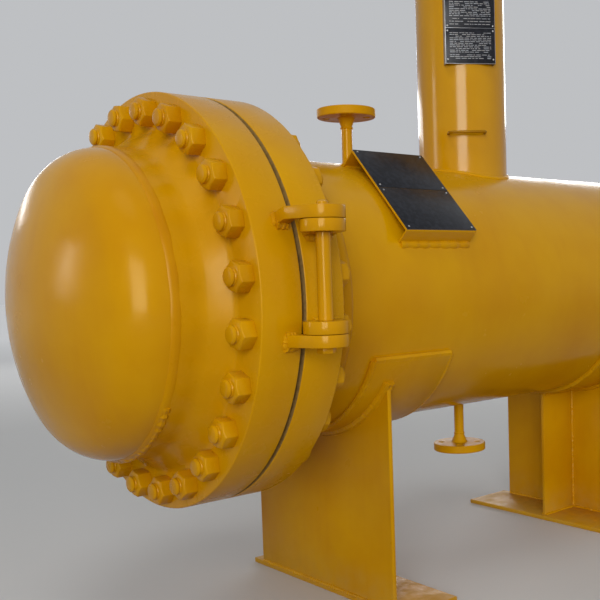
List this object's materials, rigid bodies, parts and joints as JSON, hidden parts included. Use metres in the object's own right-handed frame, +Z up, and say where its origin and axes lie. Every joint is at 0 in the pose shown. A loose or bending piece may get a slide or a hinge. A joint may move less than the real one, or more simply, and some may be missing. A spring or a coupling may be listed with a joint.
{
  "type": "filter separator",
  "caption": "Horizontal steel pressure vessel on two saddles, with a hinged bolted closure, a capped standing column and small vent and drain nozzles.",
  "frame": {"origin": "on the ground, under the middle of the front saddle's base plate", "axes": "+X along the vessel from the closure towards the rear head, +Z up, the hinge on the -Y side"},
  "size_m": [2.0117, 0.913, 1.549],
  "materials": {
    "shell_paint": "glossy yellow enamel",
    "flange_paint": "glossy yellow enamel over machined steel",
    "nozzle_paint": "glossy yellow enamel",
    "saddle_paint": "glossy yellow enamel, dusty near the ground",
    "hinge_paint": "glossy yellow enamel, rubbed at the pin",
    "engraved_plate": "satin black with bare metal edges",
    "gasket": "dark wound metal and filler"
  },
  "bodies": {
    "vessel": {"column_bar_bracket": "shell_paint", "column_cap": "shell_paint", "column_pipe": "shell_paint", "column_plate_bracket": "engraved_plate", "drain_flange": "nozzle_paint", "drain_neck": "nozzle_paint", "front_base_plate": "saddle_paint", "front_saddle_pad": "saddle_paint", "front_saddle_rib": "saddle_paint", "front_saddle_web": "saddle_paint", "gasket": "gasket", "hinge_pin": "hinge_paint", "hinge_sleeve": "hinge_paint", "lower_column_plate": "engraved_plate", "lower_name_plate": "engraved_plate", "lower_shell_lug": "hinge_paint", "name_plate_bracket": "shell_paint", "rear_base_plate": "saddle_paint", "rear_head": "shell_paint", "rear_saddle_pad": "saddle_paint", "rear_saddle_rib": "saddle_paint", "rear_saddle_web": "saddle_paint", "shell": "shell_paint", "shell_flange": "flange_paint", "upper_column_plate": "engraved_plate", "upper_name_plate": "engraved_plate", "upper_shell_lug": "hinge_paint", "vent_flange": "nozzle_paint", "vent_neck": "nozzle_paint"},
    "cover": {"cover_flange": "flange_paint", "cover_head": "shell_paint", "upper_cover_lug": "hinge_paint", "lower_cover_lug": "hinge_paint"}
  },
  "joints": [
    {"name": "cover_swing", "type": "hinge", "parent": "vessel", "child": "cover", "pos_m": [-0.382, -0.458, 0.73925], "axis": [0, 0, 1], "range_deg": [0, 110]}
  ]
}
